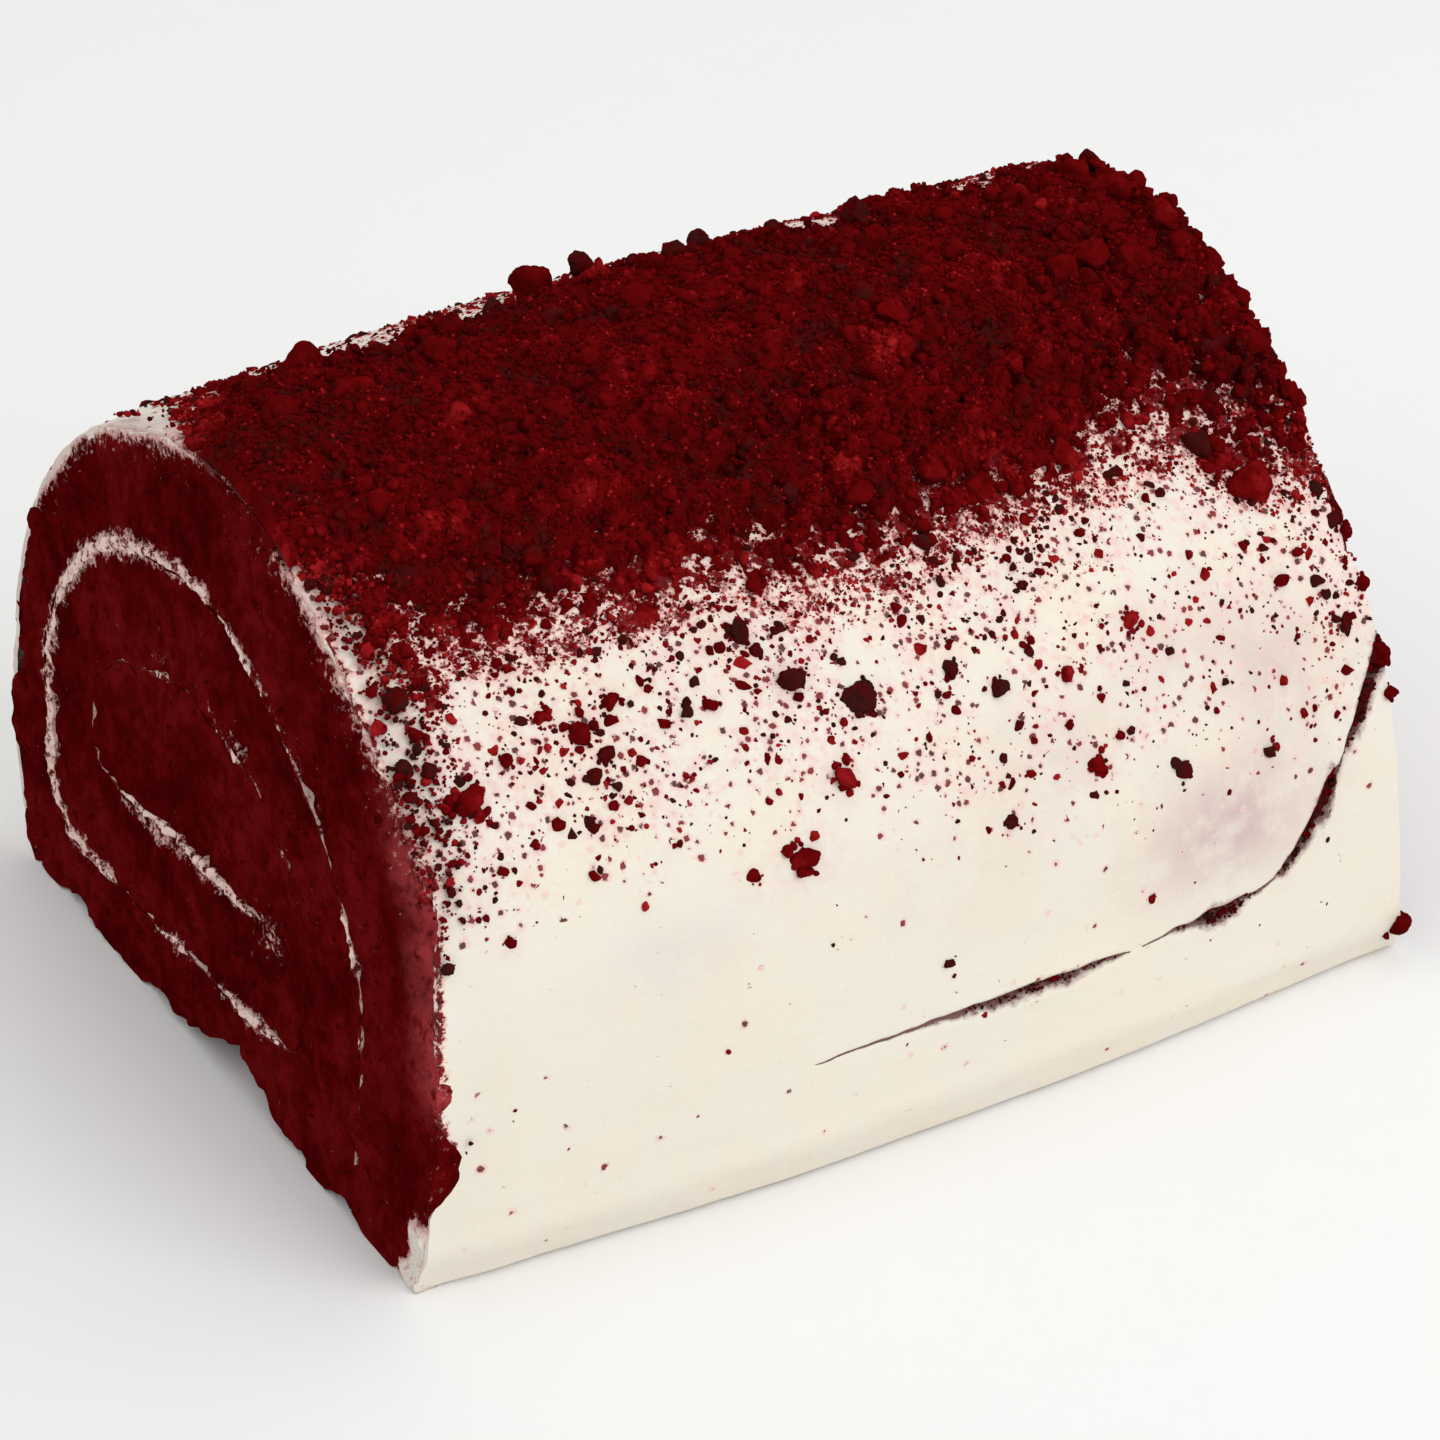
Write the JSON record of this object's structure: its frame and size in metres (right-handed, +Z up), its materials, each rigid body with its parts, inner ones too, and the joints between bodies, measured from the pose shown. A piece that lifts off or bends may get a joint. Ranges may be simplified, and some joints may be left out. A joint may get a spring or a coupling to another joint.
{
  "type": "red velvet swiss roll",
  "caption": "Rolled red sponge cake with a spiral of white cream at its cut ends, an ivory icing coat and a bed of dark red cake crumbs along its top.",
  "frame": {"origin": "middle of the base of the bounding box, on the surface that the roll lies on", "axes": "+X along the roll, away from the cut face that shows the spiral; -Y is the iced front with the crack of the sheet's end; +Z up"},
  "size_m": [0.1222, 0.0996, 0.0711],
  "materials": {
    "sponge": "deep red velvet sponge with an open, torn crumb",
    "cream": "soft cream cheese filling stained pink by crumbs",
    "icing": "satin ivory icing spread with a palette knife, with small crumbs fused on",
    "crumb": "dry dark red cake crumbs"
  },
  "bodies": {
    "root": {"sponge": "sponge", "cream_filling": "cream", "icing": "icing", "crumb_topping": "crumb"}
  },
  "joints": []
}
